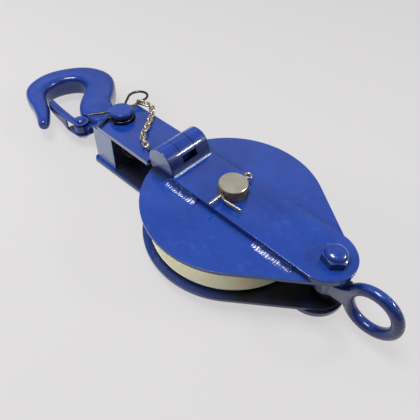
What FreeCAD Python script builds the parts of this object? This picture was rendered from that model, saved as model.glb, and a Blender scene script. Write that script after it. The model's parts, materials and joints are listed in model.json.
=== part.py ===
import FreeCAD, Part
import math
import os
import re
import Sketcher

# Hinged-gate snatch block with a swivel hook and a tail ring.
# Origin: centre of the sheave. +X runs to the tail ring, -X to the hook, +Z out of the front face.

VECTOR = FreeCAD.Vector
TURN = {
    "X": FreeCAD.Rotation(VECTOR(0, 1, 0), 90),
    "Y": FreeCAD.Rotation(VECTOR(1, 0, 0), -90),
    "Z": FreeCAD.Rotation(),
}

DIMENSIONS = {
    # rope and sheave
    "rope_diameter": 20,
    "sheave_radius": 91.5,
    "sheave_width": 34,
    "groove_depth": 19.5,
    "web_recess": 4,
    "bush_radius": 23,
    "thrust_wall": 3,
    "thrust_radius": 30,
    # axle
    "axle_radius": 16,
    "axle_stand": 14,
    "axle_chamfer": 1,
    "axle_head_radius": 22,
    "axle_head_wall": 6,
    "cotter_wire": 1.75,
    "cotter_height": 7,
    # cheeks and straps
    "cheek_radius": 100,
    "cheek_wall": 4,
    "cheek_gap": 41,
    "tail_reach": 116,
    "cheek_tail_radius": 29.5,
    "strap_width": 64,
    "strap_wall": 6,
    "edge_round": 0.8,
    "weld_leg": 5.5,
    "weld_length": 48,
    "weld_overrun": 7,
    "weld_tail_inset": 60,
    # head
    "head_overhang": 2.5,
    "head_width": 66,
    "head_flange": 5,
    "head_clip": 13,
    "rear_clip": 4,
    "block_length": 38,
    "gate_seat": 0.2,
    # gate hinge
    "hinge_reach": 82,
    "hinge_rise": 13,
    "knuckle_radius": 18,
    "knuckle_foot": 3.5,
    "hinge_width": 60,
    "middle_knuckle": 21,
    "knuckle_gap": 0.4,
    "hinge_pin_radius": 7,
    "swing_clearance": 0.8,
    # locking pin and its clip
    "lock_reach": 188,
    "lock_neck_radius": 11.5,
    "lock_head_radius": 15.2,
    "lock_head_wall": 5.5,
    "lock_stand": 13,
    "lock_root_radius": 8,
    "lock_root_depth": 10,
    "lock_clearance": 1.6,
    "clip_wire": 1.6,
    "chain_wire": 1.2,
    "chain_link": 13,
    "chain_link_width": 8.5,
    # hook and swivel
    "shank_radius": 12,
    "shank_stub": 4.5,
    "shoulder_radius": 17,
    "shoulder_length": 7,
    "swivel_gap": 0.3,
    "nut_radius": 17,
    "nut_length": 15,
    "washer_radius": 20,
    "washer_wall": 3,
    "nut_pin_radius": 2.5,
    # latch
    "latch_stand": 39,
    "latch_offset": 27,
    "latch_length": 70,
    "latch_root_radius": 10.7,
    "latch_height": 19,
    "latch_wall": 1.6,
    "latch_ear": 10,
    "rivet_radius": 4,
    "rivet_head_radius": 7,
    "rivet_head_rise": 3.4,
    # tail
    "bolt_reach": 126,
    "bolt_radius": 8,
    "bolt_flats": 24,
    "bolt_head_wall": 10,
    "bolt_nut_wall": 9.5,
    "bolt_stub": 4.5,
    "bolt_washer_radius": 15,
    "bolt_washer_wall": 3,
    "eye_radius": 13.5,
    "eye_wall": 18,
    "spacer_radius": 12.5,
    "ring_stand": 50,
    "ring_swing": 2.5,
    "ring_radius": 24.8,
    "ring_bar": 6.1,
    # fits
    "running_gap": 0.06,
    "end_play": 0.3,
}

doc = FreeCAD.newDocument("snatch_block")
sizes = doc.addObject("Spreadsheet::Sheet", "sizes")
for row, (size_name, size) in enumerate(DIMENSIONS.items(), start=1):
    sizes.set(f"A{row}", size_name)
    sizes.set(f"B{row}", str(size))
    sizes.setAlias(f"B{row}", size_name)
doc.recompute()

nodes = {}


def bound(text):
    """A size as written below, with each name of the sheet in full."""
    return re.sub(r"\b([a-z]+(?:_[a-z]+)+)\b", r"sizes.\1", str(text))


def value(text):
    """The number that such a size has now."""
    return float(sizes.evalExpression(bound(text)))


def keep(name, thing):
    """Name a finished sub-part."""
    thing.Label = name
    nodes[name] = thing
    return thing


def bind(thing, **properties):
    """Tie properties of an object to sizes of the sheet."""
    for key, text in properties.items():
        thing.setExpression(key, bound(text))


def place(thing, x, y, z, along="Z"):
    """Turn an object and tie its place to the sheet."""
    thing.Placement = FreeCAD.Placement(VECTOR(0, 0, 0), TURN[along])
    for letter, text in (("x", x), ("y", y), ("z", z)):
        thing.setExpression(f"Placement.Base.{letter}", bound(text))


def cylinder(name, radius, length, x=0, y=0, z=0, along="Z"):
    """Round bar that starts at a point and runs along an axis."""
    bar = doc.addObject("Part::Cylinder", name)
    bind(bar, Radius=radius, Height=length)
    place(bar, x, y, z, along)
    return bar


def cone(name, low_radius, high_radius, length, x=0, y=0, z=0, along="Z"):
    """Tapered round bar that starts at a point and runs along an axis."""
    taper = doc.addObject("Part::Cone", name)
    bind(taper, Radius1=low_radius, Radius2=high_radius, Height=length)
    place(taper, x, y, z, along)
    return taper


def block(name, length, width, height, x, y, z):
    """Box from its lowest corner."""
    box = doc.addObject("Part::Box", name)
    bind(box, Length=length, Width=width, Height=height)
    place(box, x, y, z)
    return box


def fuse(name, *shapes):
    """One solid from several."""
    whole = doc.addObject("Part::MultiFuse", name)
    whole.Shapes = list(shapes)
    whole.Refine = True
    return whole


def cut(name, base, *tools):
    """Base with the tools taken away."""
    result = doc.addObject("Part::Cut", name)
    result.Base = base
    result.Tool = tools[0] if len(tools) == 1 else fuse(name + "_tools", *tools)
    result.Refine = True
    return result


def common(name, base, tool):
    """What two solids share."""
    shared = doc.addObject("Part::MultiCommon", name)
    shared.Shapes = [base, tool]
    return shared


def round_edges(name, base, radius, wanted):
    """Round the edges for which wanted(edge) is true."""
    doc.recompute()
    rounded = doc.addObject("Part::Fillet", name)
    rounded.Base = base
    picked = [number for number, edge in enumerate(base.Shape.Edges, start=1) if wanted(edge)]
    rounded.Edges = [(number, value(radius), value(radius)) for number in picked]
    return rounded


def origin_plane(body, role):
    """One of a body's own origin planes."""
    return next(feature for feature in body.Origin.OriginFeatures if feature.Role == role)


def add_outline(sketch, corners, bends=None):
    """Closed outline; bends holds an arc's middle and its centre's x by the corner that it leaves."""
    bends = bends or {}
    first = sketch.GeometryCount
    points = [VECTOR(value(x), value(y), 0) for x, y in corners]
    count = len(points)
    ends = []
    for number, start in enumerate(points):
        stop = points[(number + 1) % count]
        if number not in bends:
            sketch.addGeometry(Part.LineSegment(start, stop), False)
            ends.append((1, 2))
            continue
        mid_x, mid_y, centre_x = bends[number]
        middle = VECTOR(value(mid_x), value(mid_y), 0)
        turns_left = (middle - start).cross(stop - middle).z > 0
        sketch.addGeometry(Part.Arc(start, middle, stop), False)
        ends.append((1, 2) if turns_left else (2, 1))
        index = sketch.addConstraint(
            Sketcher.Constraint("DistanceX", -1, 1, first + number, 3, value(centre_x))
        )
        sketch.setExpression(f"Constraints[{index}]", bound(centre_x))
    for number in range(count):
        after = (number + 1) % count
        joint = Sketcher.Constraint(
            "Coincident", first + number, ends[number][1], first + after, ends[after][0]
        )
        sketch.addConstraint(joint)
    for number, corner in enumerate(corners):
        for kind, text in zip(("DistanceX", "DistanceY"), corner):
            fixed = Sketcher.Constraint(kind, -1, 1, first + number, ends[number][0], value(text))
            index = sketch.addConstraint(fixed)
            sketch.setExpression(f"Constraints[{index}]", bound(text))


def add_circle(sketch, radius, x=0, y=0):
    """Circle in a sketch, its centre and radius tied to the sheet."""
    circle = Part.Circle(VECTOR(value(x), value(y), 0), VECTOR(0, 0, 1), value(radius))
    number = sketch.addGeometry(circle, False)
    for kind, text in (("DistanceX", x), ("DistanceY", y)):
        index = sketch.addConstraint(Sketcher.Constraint(kind, -1, 1, number, 3, value(text)))
        sketch.setExpression(f"Constraints[{index}]", bound(text))
    index = sketch.addConstraint(Sketcher.Constraint("Radius", number, value(radius)))
    sketch.setExpression(f"Constraints[{index}]", bound(radius))


def new_sketch(body, name, role="XY_Plane", height=0):
    """Sketch on one of a body's origin planes, or above it."""
    sketch = body.newObject("Sketcher::SketchObject", name)
    sketch.AttachmentSupport = [(origin_plane(body, role), "")]
    sketch.MapMode = "FlatFace"
    sketch.setExpression("AttachmentOffset.Base.z", bound(height))
    return sketch


def pad(body, sketch, length):
    """Pad of a sketch along its normal."""
    solid = body.newObject("PartDesign::Pad", sketch.Name + "_pad")
    solid.Profile = sketch
    bind(solid, Length=length)
    doc.recompute()
    return solid


def round_rim(body, base, radius, height):
    """Round all edges of the flat face at a height."""
    level = value(height)
    faces = [
        f"Face{number}"
        for number, face in enumerate(base.Shape.Faces, start=1)
        if face.BoundBox.ZLength < 0.001 and abs(face.CenterOfMass.z - level) < 0.01
    ]
    rim = body.newObject("PartDesign::Fillet", base.Name + "_rim")
    rim.Base = (base, faces)
    bind(rim, Radius=radius)
    doc.recompute()
    return rim


def shape_node(name, shape):
    """Sub-part whose form is worked out here from the sheet's sizes."""
    feature = doc.addObject("Part::Feature", name + "_form")
    feature.Shape = shape
    feature.Placement = FreeCAD.Placement()
    return keep(name, feature)


# Heights of the layers, from the middle of the sheave outwards, and distances from it towards the hook

CHEEK_IN = "cheek_gap / 2"
CHEEK_OUT = f"({CHEEK_IN} + cheek_wall)"
STRAP_OUT = f"({CHEEK_OUT} + strap_wall)"
HINGE_Z = f"({CHEEK_OUT} + hinge_rise)"
BLOCK_HEIGHT = f"(2 * {CHEEK_OUT})"
STRAP_START = "(hinge_reach - knuckle_radius - knuckle_foot)"
BLOCK_END = "(lock_reach + block_length / 2)"
BLOCK_START = "(lock_reach - block_length / 2)"
HEAD_END = f"({BLOCK_END} + head_overhang)"
NUT_FACE = f"({BLOCK_START} - washer_wall - swivel_gap)"
LATCH_REACH = f"({BLOCK_END} + latch_stand)"


def cheek(name, low):
    """Teardrop side plate: a big round, a small round and the two lines that touch both."""
    body = doc.addObject("PartDesign::Body", name + "_body")
    sketch = new_sketch(body, name + "_outline", height=low)
    lean = "((cheek_radius - cheek_tail_radius) / tail_reach)"
    rise = f"sqrt(1 - {lean} ^ 2)"
    big_x, big_y = f"cheek_radius * {lean}", f"cheek_radius * {rise}"
    small_x, small_y = f"tail_reach + cheek_tail_radius * {lean}", f"cheek_tail_radius * {rise}"
    corners = [(big_x, big_y), (big_x, f"-{big_y}"), (small_x, f"-{small_y}"), (small_x, small_y)]
    bends = {
        0: ("-cheek_radius", "0", "0"),
        2: ("tail_reach + cheek_tail_radius", "0", "tail_reach"),
    }
    add_outline(sketch, corners, bends)
    add_circle(sketch, "axle_radius")
    add_circle(sketch, "bolt_radius", "bolt_reach")
    pad(body, sketch, "cheek_wall")
    return body


def cheeks():
    """Front and rear side plates; the front one is notched for the gate's knuckle."""
    body = cheek("front_cheek", CHEEK_IN)
    notch_width = "(middle_knuckle + 2 * knuckle_gap)"
    notch = block(
        "hinge_notch", "cheek_radius", notch_width, "2 * cheek_wall",
        f"-{STRAP_START} - swing_clearance - cheek_radius", f"-{notch_width} / 2",
        f"{CHEEK_IN} - cheek_wall / 2",
    )
    keep("front_cheek", cut("front_cheek_cut", body, notch))
    keep("rear_cheek", cheek("rear_cheek", f"-{CHEEK_OUT}"))


def strap_outline(sketch, head_corners):
    """Flat bar with a round tail; head_corners close its other end, from the far side to the near side."""
    half = "strap_width / 2"
    corners = [*head_corners, ("tail_reach", f"-{half}"), ("tail_reach", half)]
    bends = {len(head_corners): (f"tail_reach + {half}", "0", "tail_reach")}
    add_outline(sketch, corners, bends)
    add_circle(sketch, "axle_radius")
    add_circle(sketch, "bolt_radius", "bolt_reach")


def front_strap():
    """Flat bar welded on the front cheek, from the hinge to the tail."""
    body = doc.addObject("PartDesign::Body", "front_strap_body")
    sketch = new_sketch(body, "front_strap_outline", height=CHEEK_OUT)
    half = "strap_width / 2"
    strap_outline(sketch, [(f"-{STRAP_START}", half), (f"-{STRAP_START}", f"-{half}")])
    bar = pad(body, sketch, "strap_wall")
    round_rim(body, bar, "edge_round", STRAP_OUT)
    keep("front_strap", body)


def rear_strap():
    """Flat bar of the rear side, which runs on to the head and widens there."""
    body = doc.addObject("PartDesign::Body", "rear_strap_body")
    sketch = new_sketch(body, "rear_strap_outline", height=f"-{STRAP_OUT}")
    half, wide = "strap_width / 2", "(head_width / 2 + head_flange)"
    far = [
        (f"-cheek_radius + 2 * ({wide} - {half}) + strap_wall", half),
        ("-cheek_radius + strap_wall", f"{wide} - strap_wall / 3"),
        (f"-{HEAD_END} + rear_clip", wide),
        (f"-{HEAD_END}", f"{wide} - rear_clip"),
    ]
    near = [(x, f"-({y})") for x, y in reversed(far)]
    strap_outline(sketch, [*far, *near])
    bar = pad(body, sketch, "strap_wall")
    round_rim(body, bar, "edge_round", f"-{STRAP_OUT}")
    keep("rear_strap", body)


def knuckle(name, width, low_y):
    """Plain barrel of the hinge, along Y."""
    return cylinder(name, "knuckle_radius", width, "-hinge_reach", low_y, HINGE_Z, "Y")


def hinge_ramp():
    """Foot of the outer knuckles: its back runs from the strap's end up to touch the barrel."""
    body = doc.addObject("PartDesign::Body", "ramp_body")
    sketch = new_sketch(body, "ramp_outline", "XZ_Plane", "-hinge_width / 2")
    back, drop = f"(hinge_reach - {STRAP_START})", "(hinge_rise - strap_wall)"
    lean = f"(acos(knuckle_radius / sqrt({back} ^ 2 + {drop} ^ 2)) - atan({drop} / {back}))"
    corners = [
        (f"-{STRAP_START}", CHEEK_OUT),
        (f"-{STRAP_START}", STRAP_OUT),
        (f"-hinge_reach + knuckle_radius * cos({lean})", f"{HINGE_Z} + knuckle_radius * sin({lean})"),
        ("-hinge_reach", HINGE_Z),
        ("-hinge_reach", CHEEK_OUT),
    ]
    add_outline(sketch, corners)
    pad(body, sketch, "hinge_width")
    return body


def strap_hinge():
    """The two outer knuckles on one foot, welded to the end of the strap."""
    side = "((hinge_width - middle_knuckle) / 2 - knuckle_gap)"
    near = knuckle("near_barrel", side, "-hinge_width / 2")
    far = knuckle("far_barrel", side, f"hinge_width / 2 - {side}")
    below = block(
        "below_cheek_face", "4 * knuckle_radius", "2 * hinge_width", "2 * knuckle_radius",
        "-hinge_reach - 2 * knuckle_radius", "-hinge_width", f"{CHEEK_OUT} - 2 * knuckle_radius",
    )
    slot_width = "(middle_knuckle + 2 * knuckle_gap)"
    sweep = cylinder(
        "middle_sweep", "knuckle_radius + swing_clearance", slot_width,
        "-hinge_reach", f"-{slot_width} / 2", HINGE_Z, "Y",
    )
    under = block(
        "middle_slot", "knuckle_radius", slot_width, "4 * strap_wall",
        "-hinge_reach - swing_clearance", f"-{slot_width} / 2", f"{CHEEK_OUT} - strap_wall",
    )
    bore = cylinder(
        "outer_bore", "hinge_pin_radius", "2 * hinge_width", "-hinge_reach", "-hinge_width", HINGE_Z, "Y"
    )
    casting = cut(
        "strap_hinge_cut", fuse("strap_hinge_raw", near, far, hinge_ramp()), below, sweep, under, bore
    )
    rim = round_edges(
        "strap_hinge_rim", casting, "edge_round",
        lambda edge: abs(abs(edge.BoundBox.YMin) - value("hinge_width / 2")) < 0.01
        and edge.BoundBox.YLength < 0.01
        and edge.BoundBox.ZMax > value(STRAP_OUT) + 1
        and edge.BoundBox.XLength > value("knuckle_radius"),
    )
    keep("strap_hinge", rim)
    keep(
        "hinge_pin",
        cylinder("hinge_pin_bar", "hinge_pin_radius", "hinge_width", "-hinge_reach",
        "-hinge_width / 2", HINGE_Z, "Y"),
    )
    bead = cylinder(
        "seam_bead", "strap_wall / 2", "hinge_width - 2 * edge_round",
        f"-{STRAP_START}", "-hinge_width / 2 + edge_round", f"{STRAP_OUT} - strap_wall / 4", "Y",
    )
    above = block(
        "above_strap", "strap_wall", "hinge_width", "strap_wall", f"-{STRAP_START}",
        "-hinge_width / 2", STRAP_OUT
    )
    keep("hinge_seam", common("hinge_seam_bead", bead, above))


def gate():
    """Front head plate with the middle knuckle; its hole passes over the locking pin's head."""
    body = doc.addObject("PartDesign::Body", "gate_body")
    low = f"({CHEEK_OUT} + gate_seat)"
    sketch = new_sketch(body, "gate_outline", height=low)
    wide, neck = "head_width / 2", "middle_knuckle / 2"
    shoulder = "-hinge_reach - knuckle_radius - 2 * swing_clearance"
    far = [
        ("-hinge_reach - knuckle_radius / 2", neck),
        (shoulder, neck),
        (shoulder, wide),
        (f"-{HEAD_END} + head_clip", wide),
        (f"-{HEAD_END}", f"{wide} - head_clip"),
    ]
    near = [(x, f"-({y})") for x, y in reversed(far)]
    add_outline(sketch, [*far, *near])
    add_circle(sketch, "lock_head_radius + lock_clearance", "-lock_reach")
    plate = pad(body, sketch, "strap_wall - gate_seat")
    round_rim(body, plate, "edge_round", STRAP_OUT)
    barrel = knuckle("middle_barrel", "middle_knuckle", "-middle_knuckle / 2")
    bore = cylinder(
        "middle_bore", "hinge_pin_radius + running_gap", "hinge_width", "-hinge_reach",
        "-hinge_width / 2", HINGE_Z, "Y"
    )
    bore_wall = "(hinge_pin_radius + 2.5)"
    relief = block(
        "knuckle_relief", f"knuckle_radius + 1 - {bore_wall}", "2 * middle_knuckle", "2 * knuckle_radius",
        f"-hinge_reach + {bore_wall}", "-middle_knuckle", f"{HINGE_Z} - 1.5 * knuckle_radius",
    )
    keep("gate_plate", cut("gate_cut", fuse("gate_raw", body, barrel), bore, relief))


def head_block():
    """Solid block of the head: bored for the hook's shank, with a socket for the locking pin."""
    raw = block(
        "block_raw", "block_length", "head_width", BLOCK_HEIGHT, f"-{BLOCK_END}",
        "-head_width / 2", f"-{CHEEK_OUT}"
    )
    bore = cylinder(
        "shank_bore", "shank_radius + running_gap", "2 * block_length",
        f"-{BLOCK_END} - block_length / 2", 0, 0, "X"
    )
    socket = cylinder(
        "lock_socket", "lock_root_radius", "2 * lock_root_depth", "-lock_reach", 0,
        f"{CHEEK_OUT} - lock_root_depth"
    )
    bored = cut("block_bored", raw, bore, socket)
    rim = round_edges(
        "block_rim", bored, "edge_round",
        lambda edge: edge.BoundBox.ZLength > value(BLOCK_HEIGHT) - 0.01,
    )
    keep("cross_block", rim)
    bead = cylinder(
        "block_bead", "weld_leg / 2", "head_width - 4 * edge_round",
        f"-{BLOCK_START}", "-head_width / 2 + 2 * edge_round", f"-{CHEEK_OUT}", "Y",
    )
    inside = block(
        "block_corner", "weld_leg", "head_width", "weld_leg", f"-{BLOCK_START}", "-head_width / 2",
        f"-{CHEEK_OUT}"
    )
    keep("block_weld", common("block_weld_bead", bead, inside))


def locking_pin():
    """Mushroom-headed pin fixed in the cross block, with a chamfered head."""
    root = cylinder(
        "lock_root", "lock_root_radius", "lock_root_depth", "-lock_reach", 0, f"{CHEEK_OUT} - lock_root_depth"
    )
    neck_length = "(strap_wall + lock_stand - lock_head_wall)"
    neck = cylinder("lock_neck", "lock_neck_radius", neck_length, "-lock_reach", 0, CHEEK_OUT)
    chamfer = "(lock_head_wall * 0.35)"
    rim_wall = f"(lock_head_wall - {chamfer})"
    rim = cylinder("lock_rim", "lock_head_radius", rim_wall, "-lock_reach", 0, f"{CHEEK_OUT} + {neck_length}")
    top = cone(
        "lock_top", "lock_head_radius", f"lock_head_radius - {chamfer}", chamfer,
        "-lock_reach", 0, f"{CHEEK_OUT} + {neck_length} + {rim_wall}",
    )
    keep("locking_pin", fuse("locking_pin_whole", root, neck, rim, top))


def bent_wire(corners, bends, radius):
    """Round wire through corners, with a bend of a given radius at each corner between its ends."""
    edges = []
    last = corners[0]
    for before, corner, after, bend in zip(corners, corners[1:], corners[2:], bends):
        into = (corner - before).normalize()
        out = (after - corner).normalize()
        half_turn = into.getAngle(out) / 2
        trim = bend * math.tan(half_turn)
        inward = (out - into).normalize()
        middle = corner + inward * (bend / math.cos(half_turn) - bend)
        start = corner - into * trim
        stop = corner + out * trim
        if (start - last).Length > 0.001:
            edges.append(Part.LineSegment(last, start).toShape())
        edges.append(Part.Arc(start, middle, stop).toShape())
        last = stop
    edges.append(Part.LineSegment(last, corners[-1]).toShape())
    section = Part.Wire([Part.Circle(corners[0], corners[1] - corners[0], radius).toShape()])
    return Part.Wire(edges).makePipeShell([section], True, False)


def around(centre, radius, first, last, count):
    """Corners of a wire that bends round a circle from one angle to another."""
    step = (last - first) / count
    reach = radius / math.cos(math.radians(step / 2))
    return [on_circle(centre, reach, first + step * (number + 0.5)) for number in range(count)]


def on_circle(centre, radius, degrees):
    """Point of a level circle."""
    angle = math.radians(degrees)
    return centre + VECTOR(radius * math.cos(angle), radius * math.sin(angle), 0)


def clip_levels():
    """Middles of the clip's lower and upper wire, above the locking pin's foot, and the radius they hug."""
    wire = value("clip_wire")
    low = VECTOR(-value("lock_reach"), 0, value(STRAP_OUT) + wire + 0.2)
    return low, low + VECTOR(0, 0, 2 * wire + 0.2), value("lock_neck_radius + clip_wire + 0.4")


def hairpin_clip():
    """Spring wire clip: two legs cross, hug the locking pin's neck and meet in a loop."""
    low, high, hug = clip_levels()
    lift = high - low
    loop_radius = 0.96 * hug
    loop_centre = VECTOR(-1.33 * hug, 3.06 * hug, 0)
    first_leg = [low + VECTOR(-0.18, -2.5, 0) * hug, low + VECTOR(-0.72, -0.76, 0) * hug]
    first_round = around(low, hug, -115, 70, 3)
    elbow = [low + VECTOR(-1.49, 1.61, 0) * hug]
    loop = around(low + loop_centre, loop_radius, 215, 3, 3)
    loop = [corner + lift * share for corner, share in zip(loop, (0.2, 0.6, 1))]
    crossing = [high + VECTOR(-0.28, 1.28, 0) * hug]
    second_round = around(high, hug, 142, 180, 1)
    second_leg = [high + VECTOR(-1, -0.5, 0) * hug, high + VECTOR(-2.1, -2.36, 0) * hug]
    corners = [*first_leg, *first_round, *elbow, *loop, *crossing, *second_round, *second_leg]
    bends = [0.15 * hug, hug, hug, hug, 8, loop_radius, loop_radius, loop_radius, 5, hug, 6]
    shape_node("hairpin_clip", bent_wire(corners, bends, value("clip_wire")))


def link_solid(start, stop, roll):
    """Chain link between two joints, rolled about its length: half rings joined by straight sides."""
    wire = value("chain_wire")
    half_width = value("chain_link_width / 2 - chain_wire")
    straight = value("chain_link - chain_link_width")
    corner = half_width * VECTOR(1, 0, 0)
    path = Part.Wire([
        Part.LineSegment(VECTOR(-straight / 2, half_width, 0), VECTOR(straight / 2, half_width, 0)).toShape(),
        Part.Arc(
            VECTOR(straight / 2, half_width, 0), corner + VECTOR(straight / 2, 0, 0),
            VECTOR(straight / 2, -half_width, 0),
        ).toShape(),
        Part.LineSegment(VECTOR(straight / 2, -half_width, 0), VECTOR(-straight / 2, -half_width,
        0)).toShape(),
        Part.Arc(
            VECTOR(-straight / 2, -half_width, 0), VECTOR(-straight / 2, 0, 0) - corner,
            VECTOR(-straight / 2, half_width, 0),
        ).toShape(),
    ])
    section = Part.Wire([Part.Circle(VECTOR(-straight / 2, half_width, 0), VECTOR(1, 0, 0), wire).toShape()])
    link = path.makePipeShell([section], True, False)
    along = FreeCAD.Rotation(VECTOR(1, 0, 0), stop - start)
    link.Placement = FreeCAD.Placement(
        (start + stop) / 2, along.multiply(FreeCAD.Rotation(VECTOR(1, 0, 0), roll))
    )
    return link


# The small chain's route from the clip's loop to the eye on the gate, in radii of the clip's bend
# and counted from the locking pin's foot; it lies as in the photograph
CHAIN_ROUTE = [
    (-0.455, 2.43),
    (0.15, 2.72),
    (0.76, 2.86),
    (1.36, 2.62),
    (2.0, 2.02),
    (2.59, 1.15),
    (3.19, 0.30),
    (3.67, -0.52),
    (4.33, -1.04),
    (5.15, -1.33),
]


def chain():
    """Links from the clip to the gate: the first stands, the last lies flat, each turned against the next."""
    foot, high, hug = clip_levels()
    start_z, lay_z = high.z, value(f"{STRAP_OUT} + chain_link_width / 2") + 0.4
    heights = [start_z, (start_z + lay_z) / 2] + [lay_z] * (len(CHAIN_ROUTE) - 2)
    points = [VECTOR(foot.x + x * hug, y * hug, z) for (x, y), z in zip(CHAIN_ROUTE, heights)]
    route = Part.BSplineCurve()
    route.interpolate(points)
    pitch = value("chain_link - 4 * chain_wire") - 0.4
    count = 2 * math.ceil(route.length() / (2 * pitch))
    step = route.length() / count
    joints = [route.value(route.parameterAtDistance(step * number)) for number in range(count)]
    joints.append(points[-1])
    links = []
    for number in range(count):
        lean = 35 * math.sin(math.pi * number / (count - 1))
        links.append(link_solid(joints[number], joints[number + 1], 90 * (number + 1) + lean))
    shape_node("clip_chain", Part.makeCompound(links))
    eye_wire = 0.9 * value("chain_wire")
    eye_radius = 3 * eye_wire
    ahead = (joints[-1] - joints[-2]).normalize()
    centre = joints[-1] + ahead * (eye_radius - eye_wire)
    upright = VECTOR(0, 0, 1)
    eye = Part.makeTorus(eye_radius, eye_wire, centre, ahead.cross(upright))
    base = VECTOR(centre.x, centre.y, value(STRAP_OUT))
    stem = Part.makeCylinder(eye_wire, centre.z - eye_radius - base.z, base, upright)
    shape_node("chain_anchor", eye.fuse(stem).removeSplitter())


HOOK_STATIONS = [
    # ahead of the cross block, sideways, half width in the hook's plane, half thickness, heading in degrees
    # and how round the section is, for a shank of 12 mm radius
    (9, 0, 15, 12, 180, 0.8),
    (22, 0, 15.5, 12, 178, 0.7),
    (33, 0.5, 20.5, 13.5, 170, 0.55),
    (44, 4, 23.2, 14.5, 157, 0.45),
    (55.5, 10.5, 22.8, 15.5, 144, 0.45),
    (64.5, 18, 21.8, 15.5, 139, 0.45),
    (74.2, 28.5, 21.2, 15.5, 139, 0.45),
    (86.4, 40.7, 21, 15.5, 147, 0.45),
    (101.7, 49.7, 21.3, 15.5, 164, 0.45),
    (118.6, 50.2, 20.4, 15.5, 184, 0.45),
    (135.6, 41.2, 18.7, 15.5, 211, 0.45),
    (147.2, 24.7, 16.8, 15.5, 238, 0.45),
    (153.3, 6, 16.3, 15.5, 263, 0.45),
    (152.1, -13.9, 16.1, 15, 287, 0.5),
    (145.2, -28.6, 15.3, 14, 309, 0.55),
    (131.8, -37.7, 13.1, 12.5, 326, 0.6),
    (115.3, -42.7, 11.3, 11, 334, 0.7),
    (98.8, -49.1, 9.8, 9.5, 332, 0.8),
    (87.5, -54.8, 8.7, 8.6, 328, 0.9),
    (79, -59.8, 7.6, 7.6, 326, 1),
    (75.6, -62, 6.2, 6.2, 326, 1),
    (73.9, -63.1, 3.5, 3.5, 326, 1),
]


def hook_section(ahead, sideways, half_width, half_thickness, heading, roundness):
    """Rounded, slightly squared section of the forging."""
    scale = value("shank_radius") / 12
    middle = VECTOR(-value(BLOCK_END) - scale * ahead, scale * sideways, 0)
    side = VECTOR(-math.sin(math.radians(heading)), math.cos(math.radians(heading)), 0)
    points = []
    count = 20
    for number in range(count):
        angle = 2 * math.pi * number / count
        wide = math.copysign(abs(math.cos(angle)) ** roundness, math.cos(angle))
        thick = math.copysign(abs(math.sin(angle)) ** roundness, math.sin(angle))
        points.append(middle + (side * half_width * wide + VECTOR(0, 0, half_thickness * thick)) * scale)
    curve = Part.BSplineCurve()
    curve.interpolate(points, PeriodicFlag=True)
    return Part.Wire([curve.toShape()])


def hook():
    """Forged hook: a loft from the shank round the bowl to the tip, with shoulder, shank and latch ear."""
    bowl = Part.makeLoft([hook_section(*station) for station in HOOK_STATIONS], True, False)
    face_x = -value(f"{BLOCK_END} + swivel_gap")
    shoulder_length = value("shoulder_length")
    ahead = VECTOR(1, 0, 0)
    shoulder = Part.makeCylinder(
        value("shoulder_radius"), shoulder_length, VECTOR(face_x - shoulder_length, 0, 0), ahead
    )
    neck = Part.makeCone(
        value("shoulder_radius") - 4, value("shoulder_radius"), shoulder_length,
        VECTOR(face_x - 2 * shoulder_length, 0, 0), ahead,
    )
    shank_start = face_x - 1
    shank_end = -value(f"{NUT_FACE} - nut_length - shank_stub")
    shank = Part.makeCylinder(
        value("shank_radius"), shank_end - shank_start, VECTOR(shank_start, 0, 0), ahead
    )
    pivot = VECTOR(-value(LATCH_REACH), -value("latch_offset"), 0)
    ear = value("latch_ear")
    boss = Part.makeCylinder(
        value("latch_root_radius") - 1, ear, pivot - VECTOR(0, 0, ear / 2), VECTOR(0, 0, 1)
    )
    web = Part.makeBox(26, value("latch_offset") + 2, ear, VECTOR(pivot.x - 9, pivot.y, -ear / 2))
    forged = bowl.fuse([shoulder, neck, shank, boss, web]).removeSplitter()
    up = VECTOR(0, 0, 1)
    hole = Part.makeCylinder(value("rivet_radius"), 4 * ear, pivot - up * 2 * ear, up)
    flat_reach = value("latch_root_radius + swing_clearance")
    flat_z = value("latch_height / 2 - latch_wall - end_play")
    spot_faces = [
        Part.makeCylinder(flat_reach, 2 * ear, pivot + up * flat_z, up),
        Part.makeCylinder(flat_reach, 2 * ear, pivot - up * (flat_z + 2 * ear), up),
    ]
    pin_x = -value(f"{NUT_FACE} - nut_length / 2")
    pin_length = value("2 * nut_radius")
    pin_hole = Part.makeCylinder(value("nut_pin_radius"), pin_length, VECTOR(pin_x, 0, -pin_length / 2), up)
    shape_node("hook", forged.cut([hole, pin_hole, *spot_faces]))


def hook_nut():
    """Round nut on the shank, the pin that locks it, and the washer that it turns on."""
    washer = cylinder("washer_raw", "washer_radius", "washer_wall", f"-{BLOCK_START}", 0, 0, "X")
    washer_bore = cylinder(
        "washer_bore", "shank_radius + swivel_gap", "3 * washer_wall",
        f"-{BLOCK_START} - washer_wall", 0, 0, "X"
    )
    keep("swivel_washer", cut("washer_cut", washer, washer_bore))
    raw = cylinder("nut_raw", "nut_radius", "nut_length", f"-{NUT_FACE}", 0, 0, "X")
    bore = cylinder("nut_bore", "shank_radius", "3 * nut_length", f"-{NUT_FACE} - nut_length", 0, 0, "X")
    pin_x = f"-{NUT_FACE} + nut_length / 2"
    pin_bore = cylinder("nut_pin_bore", "nut_pin_radius", "2 * nut_radius", pin_x, 0, "-nut_radius")
    nut = cut("nut_cut", raw, bore, pin_bore)
    rim = round_edges(
        "nut_rim", nut, "2 * edge_round",
        lambda edge: edge.BoundBox.XLength < 0.01 and edge.BoundBox.YLength > value("2 * nut_radius") - 0.5,
    )
    keep("hook_nut", rim)
    roll_pin = cylinder("nut_pin_bar", "nut_pin_radius", "2 * nut_radius - 2", pin_x, 0, "-nut_radius + 1")
    keep("hook_nut_pin", roll_pin)


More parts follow.
